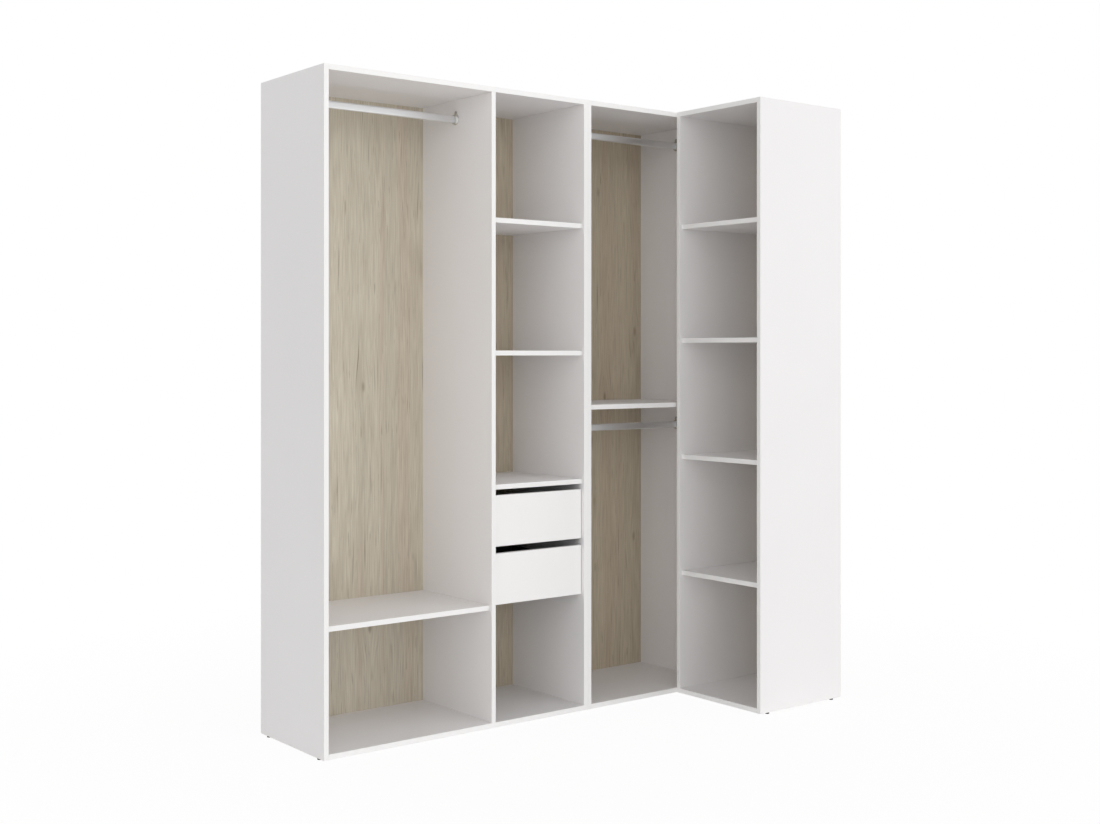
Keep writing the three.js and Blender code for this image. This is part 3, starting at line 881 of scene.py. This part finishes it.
def cross_screw(radius, height):
    """A domed screw head with a cross recess, seated at the origin and facing +Z."""
    head = rod((0, 0, height / 2), radius, height, "z", HEAD_SIDES)
    round_edges(head, edges_at("z", height), SCREW_DOME_SHARE * height, 4)
    reach, slot, depth = 0.55 * radius, 0.12 * radius, 0.5 * height
    cross = [
        block((-wide, -tall, height - depth), (wide, tall, height + depth))
        for wide, tall in ((reach, slot), (slot, reach))
    ]
    return combine(head, cross, "DIFFERENCE")


def rail_bracket(sizes, width, height):
    """A cast bracket on a board at x = 0: round plate, ear above it, and the socket for the rail."""
    thick, radius = sizes.plate_thickness, sizes.plate_radius
    half_ear, rise = sizes.ear_width / 2, sizes.ear_rise
    plate = rod((thick / 2, 0, 0), radius, thick, "x", PLATE_SIDES)
    ear = block((0, -half_ear, 0), (thick, half_ear, rise))
    ear_end = rod((thick / 2, 0, rise), half_ear, thick, "x", EAR_SIDES)
    room = sizes.socket_clearance
    wall = room + sizes.socket_wall
    socket = rounded_bar(
        width + 2 * wall, height + 2 * wall, sizes.rail_round + wall, thick / 2, sizes.socket_depth
    )
    combine(plate, [ear, ear_end, socket], "UNION")
    bore = rounded_bar(
        width + 2 * room, height + 2 * room, sizes.rail_round + room, thick, 2 * sizes.socket_depth
    )
    combine(plate, [bore], "DIFFERENCE")
    # The casting's edges are rounded by 0.5 mm
    return soften(plate, 0.5 * MM, 3)


class WARDROBE_OT_brackets(Operator):
    """Model the cast brackets that hold the rails, with their screws"""

    bl_idname = "wardrobe.brackets"
    bl_label = "Rail brackets"

    def execute(self, context):
        sizes = context.scene.wardrobe_hardware
        colours = context.scene.wardrobe_colours
        # Zinc die-casting under satin nickel: bright and smooth, with a faint grain of 0.8 mm
        cast = plated_metal("nickel_plated_zinc_casting", colours.zinc, 0.8 * MM, (0.14, 0.24))
        # Zinc-plated steel: a cooler grey whose shine varies in patches of 2 mm
        plated = plated_metal(STEEL, colours.steel, 2 * MM, (0.2, 0.4))
        low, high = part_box(RAILS[0])
        pattern = rail_bracket(sizes, high.y - low.y, high.z - low.z)
        screw = cross_screw(sizes.bracket_screw, sizes.bracket_head)
        for rail in RAILS:
            centre = sum(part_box(rail), Vector()) / 2
            for side, turn in (("left", 0), ("right", math.pi)):
                node = f"{rail}_bracket_{side}"
                low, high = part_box(node)
                board = Vector((high.x if turn else low.x, centre.y, centre.z))
                place = Matrix.Translation(board) @ Matrix.Rotation(turn, 4, "Z")
                bracket = copy_of(pattern, place)
                dress(bracket, f"{node}_casting", cast, "carcass", [node])
                heads = [
                    copy_of(screw, place @ Matrix.Translation((sizes.plate_thickness, 0, z)) @ FACING_X)
                    for z in (0, sizes.ear_rise)
                ]
                dress(join(heads), f"{node}_screws", plated, "carcass")
        discard(pattern, screw)
        return {"FINISHED"}


def folded_strip(x, low_z, high_z, run, folds, sizes):
    """Sheet steel along Y: an upright web at x with bent folds, each its edge's height and moves."""
    nothing_selected()
    bpy.ops.mesh.primitive_plane_add(
        size=1, rotation=(0, QUARTER, 0), location=(x, run / 2, (low_z + high_z) / 2)
    )
    bpy.context.object.scale = (high_z - low_z, run, 1)
    strip = settle()
    edit(strip)
    for height, moves in folds:
        pick(strip, "EDGE", edges_at("z", height))
        for move in moves:
            bpy.ops.mesh.extrude_region_move(TRANSFORM_OT_translate={"value": move})
    pick(strip, "EDGE", lambda edge: len(edge.link_faces) == 2)
    bpy.ops.mesh.bevel(offset=sizes.runner_bend, segments=4, affect="EDGES")
    bpy.ops.mesh.select_all(action="SELECT")
    bpy.ops.mesh.normals_make_consistent(inside=False)
    bpy.ops.object.mode_set(mode="OBJECT")
    finish_with(strip, "SOLIDIFY", thickness=sizes.runner_steel, offset=0)
    return strip


def sink_face(piece, test, rim, depth):
    """Sinks the face that passes a test, but for a rim round it."""
    edit(piece)
    pick(piece, "FACE", test)
    bpy.ops.mesh.inset(thickness=rim)
    slope = 0.4 * depth
    bpy.ops.mesh.inset(thickness=slope, depth=-depth)
    bpy.ops.object.mode_set(mode="OBJECT")
    return piece


def roller(sizes, start, centre_y, centre_z, hub_sign):
    """A moulded roller along X from start on, with a rounded tread and a sunk hub face."""
    end = start + sizes.roller_width
    centre = ((start + end) / 2, centre_y, centre_z)
    wheel = rod(centre, sizes.roller_radius, sizes.roller_width, "x")
    for rim in (start, end):
        round_edges(wheel, edges_at("x", rim), TREAD_ROUND_SHARE * sizes.roller_width, 3)
    hub = faces_towards("x", hub_sign)
    return sink_face(wheel, hub, HUB_RIM_SHARE * sizes.roller_radius, sizes.roller_web)


def pin(sizes, start, end, centre_y, centre_z, head):
    """A riveted pin along X from start to end, with its head beyond the end."""
    centre = ((start + end) / 2, centre_y, centre_z)
    shank = rod(centre, sizes.pin_radius, abs(end - start), "x", PIN_SIDES)
    cap = rod((end + head / 2, centre_y, centre_z), sizes.rivet_radius, abs(head), "x", HEAD_SIDES)
    round_edges(cap, edges_at("x", end + head), RIVET_DOME_SHARE * abs(head), 3)
    return [shank, cap]


class WARDROBE_OT_runners(Operator):
    """Model the roller runners of the drawers in folded steel, with nylon rollers"""

    bl_idname = "wardrobe.runners"
    bl_label = "Drawer runners"

    def execute(self, context):
        sizes = context.scene.wardrobe_hardware
        colours = context.scene.wardrobe_colours
        # White powder coat on sheet steel: an even, half-glossy white with a peel of 0.9 mm
        coat = soft_skin("white_powder_coat", colours.powder, 0.9 * MM, (0.3, 0.42), 0.25)
        # Moulded nylon: a warm white that lets a little light in, with a soft sheen
        nylon = soft_skin("white_nylon", colours.nylon, 1.2 * MM, (0.35, 0.5), 0.1, glow=0.15)
        plated = bpy.data.materials[STEEL]
        for drawer in DRAWERS:
            for side, mirror in (("left", 1), ("right", -1)):
                channel = f"{drawer}_carcass_runner_{side}"
                rail = f"{drawer}_box_runner_{side}"
                low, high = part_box(channel)
                wall = low.x if mirror > 0 else high.x
                out = Matrix.Translation((wall, 0, 0)) @ Matrix.Scale(mirror, 4, (1, 0, 0))
                parts = self.channel(sizes, channel, rail)
                self.finish(parts, out, channel, (coat, nylon, plated), "carcass")
                parts = self.rail(sizes, channel, rail, f"{drawer}_box_{side}_side", mirror)
                self.finish(parts, out, rail, (coat, nylon, plated), drawer)
        return {"FINISHED"}

    def finish(self, parts, out, node, materials, body):
        names = (f"{node}_steel", f"{node}_roller", f"{node}_pin")
        slots = ("coated_steel", None, None)
        for part, name, material, slot in zip(parts, names, materials, slots):
            made = copy_of(part, out)
            replaced = [node] if slot else ()
            dress(made, name, material, body, replaced)
        discard(*parts)

    def channel(self, sizes, channel, rail):
        """The lipped channel on the carcass, measured from its own outer face and opening to +X."""
        steel = sizes.runner_steel
        low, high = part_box(channel)
        run, tall, reach = high.y - low.y, high.z - low.z, high.x - low.x
        half = steel / 2
        across, lip = reach - steel, sizes.runner_lip + half
        folds = [
            (half, [(across, 0, 0), (0, 0, lip)]),
            (tall - half, [(across, 0, 0), (0, 0, -lip)]),
        ]
        strip = folded_strip(half, half, tall - half, run, folds, sizes)
        rail_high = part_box(rail)[1]
        start = sizes.roller_start
        centre_z = rail_high.z - low.z - steel - sizes.roller_gap - sizes.roller_radius
        centre_y = sizes.roller_radius + sizes.roller_setback
        places = [share * run for share in CHANNEL_SCREW_SHARES]
        hole_radius = sizes.runner_screw + sizes.screw_room
        holes = [rod((half, y, tall / 2), hole_radius, 4 * steel, "x", PIN_SIDES) for y in places]
        strip = combine(strip, holes, "DIFFERENCE")
        strip = join([strip, self.stop(sizes, rail_high.y - low.y, steel)])
        wheel = roller(sizes, start, centre_y, centre_z, 1)
        pins = pin(sizes, half, start + sizes.roller_width, centre_y, centre_z, sizes.rivet_height)
        seats = [(2 * sizes.screw_room, y, tall / 2) for y in places]
        return self.assembly(sizes, strip, wheel, pins, seats, FACING_X, low)

    def stop(self, sizes, rail_end, floor):
        """The hump in the channel's floor that stops the drawer's roller at full travel."""
        rise, radius = sizes.stop_height, sizes.roller_radius
        travel = frame["joints"][0]["range_m"][1]
        contact = math.sqrt(radius**2 - (radius + sizes.roller_gap - rise) ** 2)
        rear = rail_end - sizes.roller_setback - radius - travel - contact - sizes.stop_gap
        start, end = sizes.roller_start, sizes.roller_start + sizes.roller_width
        hump = block((start, rear - sizes.stop_length, floor / 2), (end, rear, floor + rise))
        edit(hump)
        pick(
            hump,
            "EDGE",
            lambda edge: all(v.co.z > floor and v.co.y < rear - NEAR for v in edge.verts),
        )
        bpy.ops.transform.translate(value=(0, sizes.stop_ramp, 0))
        bpy.ops.object.mode_set(mode="OBJECT")
        return soften(hump, floor / 2, 3)

    def rail(self, sizes, channel, rail, box_side, mirror):
        """The rail under the box side: foot, web and flange, measured from the channel's outer face."""
        steel = sizes.runner_steel
        half = steel / 2
        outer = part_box(channel)
        wall = outer[0].x if mirror > 0 else outer[1].x
        low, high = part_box(rail)
        side_low, side_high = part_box(box_side)
        board = (side_low.x - wall) if mirror > 0 else (wall - side_high.x)
        web = board - sizes.screw_room - half
        foot = (high.x - wall if mirror > 0 else wall - low.x) - web
        flange = web - 2 * steel
        run, bottom = high.y - low.y, half
        top = high.z - low.z - half
        folds = [(bottom, [(foot, 0, 0)]), (top, [(-flange, 0, 0)])]
        strip = folded_strip(web, bottom, top, run, folds, sizes)
        start = sizes.roller_start
        centre_z = outer[0].z - low.z + steel + sizes.roller_gap + sizes.roller_radius
        centre_y = run - sizes.roller_radius - sizes.roller_setback
        wheel = roller(sizes, start, centre_y, centre_z, -1)
        pins = pin(sizes, web, start, centre_y, centre_z, -sizes.rivet_height)
        seats = [(web + foot / 2, share * run, sizes.screw_room) for share in RAIL_SCREW_SHARES]
        return self.assembly(sizes, strip, wheel, pins, seats, FACING_DOWN, low)

    def assembly(self, sizes, strip, wheel, pins, seats, facing, low):
        """Adds the screws, and moves all from y = z = 0 to where the node starts."""
        screw = cross_screw(sizes.runner_screw, sizes.screw_height)
        screws = [copy_of(screw, Matrix.Translation(seat) @ facing) for seat in seats]
        discard(screw)
        parts = [strip, wheel, join(pins + screws)]
        for part in parts:
            only(part)
            part.location = (0, low.y, low.z)
            settle()
        return parts


class WARDROBE_OT_glides(Operator):
    """Model the floor glides with the nails that hold them"""

    bl_idname = "wardrobe.glides"
    bl_label = "Floor glides"

    def execute(self, context):
        sizes = context.scene.wardrobe_hardware
        colours = context.scene.wardrobe_colours
        # Moulded polythene: nearly black and matt, with hardly a highlight
        polythene = soft_skin(
            "moulded_polythene", colours.polythene, 1.5 * MM, (0.75, 0.9), 0.2, shine=0.15
        )
        names = [name for name, slot in SLOT_OF.items() if slot == "black_polythene"]
        low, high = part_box(names[0])
        tall = high.z - low.z
        foot_round, top_round = tall / 4, tall / 16
        pattern = rod((0, 0, tall / 2), sizes.glide_radius, tall, "z")
        round_edges(pattern, edges_at("z", 0), foot_round, 5)
        round_edges(pattern, edges_at("z", tall), top_round, 2)
        sink_face(pattern, faces_towards("z", -1), sizes.glide_rim, sizes.glide_hollow)
        # Half the height of the nail's head is sunk in the end of the hollow
        half_head, head_round = 0.5 * MM, 0.3 * MM
        head_low, head_high = sizes.glide_hollow - half_head, sizes.glide_hollow + half_head
        centre = (0, 0, (head_low + head_high) / 2)
        nail = rod(centre, sizes.glide_nail, head_high - head_low, "z", PIN_SIDES)
        round_edges(nail, edges_at("z", head_low), head_round, 2)
        nails = []
        for name in names:
            low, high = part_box(name)
            place = Matrix.Translation(((low.x + high.x) / 2, (low.y + high.y) / 2, low.z))
            foot = copy_of(pattern, place)
            dress(foot, f"{name}_foot", polythene, "carcass", [name])
            nails.append(copy_of(nail, place))
        dress(join(nails), "glide_nails", bpy.data.materials[STEEL], "carcass")
        discard(pattern, nail)
        return {"FINISHED"}


class WARDROBE_OT_nails(Operator):
    """Model the nails that hold the back sheets to the boards"""

    bl_idname = "wardrobe.nails"
    bl_label = "Back sheet nails"

    def execute(self, context):
        sizes = context.scene.wardrobe_hardware
        # A flat head that stands rise out of the sheet and reaches three times as far into it
        rise = sizes.nail_rise
        nail = rod((0, 0, -rise), sizes.nail_radius, 4 * rise, "z", NAIL_SIDES)
        round_edges(nail, edges_at("z", rise), 2 * rise, 2)
        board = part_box("main_left_side")
        inset = (board[1].x - board[0].x) / 2 - sizes.sheet_inset
        for name, axis in BACK_SHEETS.items():
            low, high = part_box(name)
            span = "y" if axis == "x" else "x"
            facing = FACING_X if axis == "x" else FACING_Y
            rear = high[AXES[axis]]
            ends = [low[AXES[span]] + inset, high[AXES[span]] - inset]
            columns = list(ends)
            if name == "main_back_sheet":
                columns.append(sum(corner.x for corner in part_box("main_divider")) / 2)
            floor, top = low.z + inset, high.z - inset
            rows = [(span, ends[0], ends[1], z) for z in (floor, top)]
            rows += [("z", floor, top, at) for at in columns]
            made = []
            for along, start, end, at in rows:
                count = max(2, round((end - start) / sizes.nail_spacing) + 1)
                step = Vector((0, 0, 0))
                step[AXES[along]] = (end - start) / (count - 1)
                place = Vector((0, 0, 0))
                place[AXES[axis]] = rear
                place[AXES[span]] = start if along == span else at
                place.z = at if along == span else start
                if along == "z":
                    place.z, count = place.z + step.z, count - 2
                row = copy_of(nail, Matrix.Translation(place) @ facing)
                finish_with(
                    row,
                    "ARRAY",
                    count=count,
                    use_relative_offset=False,
                    use_constant_offset=True,
                    constant_offset_displace=step,
                )
                made.append(row)
            dress(join(made), f"{name}_nails", bpy.data.materials[STEEL], "carcass")
        discard(nail)
        return {"FINISHED"}


class WARDROBE_OT_bolts(Operator):
    """Model the bolts that join the corner module to the main module"""

    bl_idname = "wardrobe.bolts"
    bl_label = "Joining bolts"

    def execute(self, context):
        sizes = context.scene.wardrobe_hardware
        low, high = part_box("corner_left_side")
        head = cross_screw(sizes.bolt_radius, sizes.bolt_height)
        places = [
            (high.x, low.y + deep * (high.y - low.y), low.z + tall * (high.z - low.z))
            for deep in BOLT_DEPTH_SHARES
            for tall in BOLT_HEIGHT_SHARES
        ]
        heads = [copy_of(head, Matrix.Translation(place) @ FACING_X) for place in places]
        dress(join(heads), "joining_bolts", bpy.data.materials[STEEL], "carcass")
        discard(head)
        return {"FINISHED"}


OPERATORS = (
    WARDROBE_OT_stage,
    WARDROBE_OT_boards,
    WARDROBE_OT_back_sheets,
    WARDROBE_OT_drawer_boxes,
    WARDROBE_OT_rails,
    WARDROBE_OT_brackets,
    WARDROBE_OT_runners,
    WARDROBE_OT_glides,
    WARDROBE_OT_nails,
    WARDROBE_OT_bolts,
)
GROUPS = {
    "wardrobe_colours": WardrobeColours,
    "wardrobe_hardware": WardrobeHardware,
    "wardrobe_studio": WardrobeStudio,
}


class WARDROBE_PT_panel(Panel):
    bl_idname = "WARDROBE_PT_panel"
    bl_label = "Corner Wardrobe"
    bl_space_type = "VIEW_3D"
    bl_region_type = "UI"
    bl_category = "Wardrobe"

    def draw(self, context):
        for operator in OPERATORS:
            self.layout.operator(operator.bl_idname)
        for title in GROUPS:
            group = getattr(context.scene, title)
            box = self.layout.box()
            for name in group.bl_rna.properties.keys():
                if name not in ("name", "rna_type"):
                    box.prop(group, name)


def register():
    for title, group in GROUPS.items():
        bpy.utils.register_class(group)
        setattr(bpy.types.Scene, title, PointerProperty(type=group))
    for item in (*OPERATORS, WARDROBE_PT_panel):
        bpy.utils.register_class(item)


def unregister():
    for item in (WARDROBE_PT_panel, *reversed(OPERATORS)):
        bpy.utils.unregister_class(item)
    for title, group in GROUPS.items():
        delattr(bpy.types.Scene, title)
        bpy.utils.unregister_class(group)


def main():
    register()
    bpy.ops.wardrobe.stage()
    bpy.ops.wardrobe.boards()
    bpy.ops.wardrobe.back_sheets()
    bpy.ops.wardrobe.drawer_boxes()
    bpy.ops.wardrobe.rails()
    bpy.ops.wardrobe.brackets()
    bpy.ops.wardrobe.runners()
    bpy.ops.wardrobe.glides()
    bpy.ops.wardrobe.nails()
    bpy.ops.wardrobe.bolts()


if __name__ == "__main__":
    main()
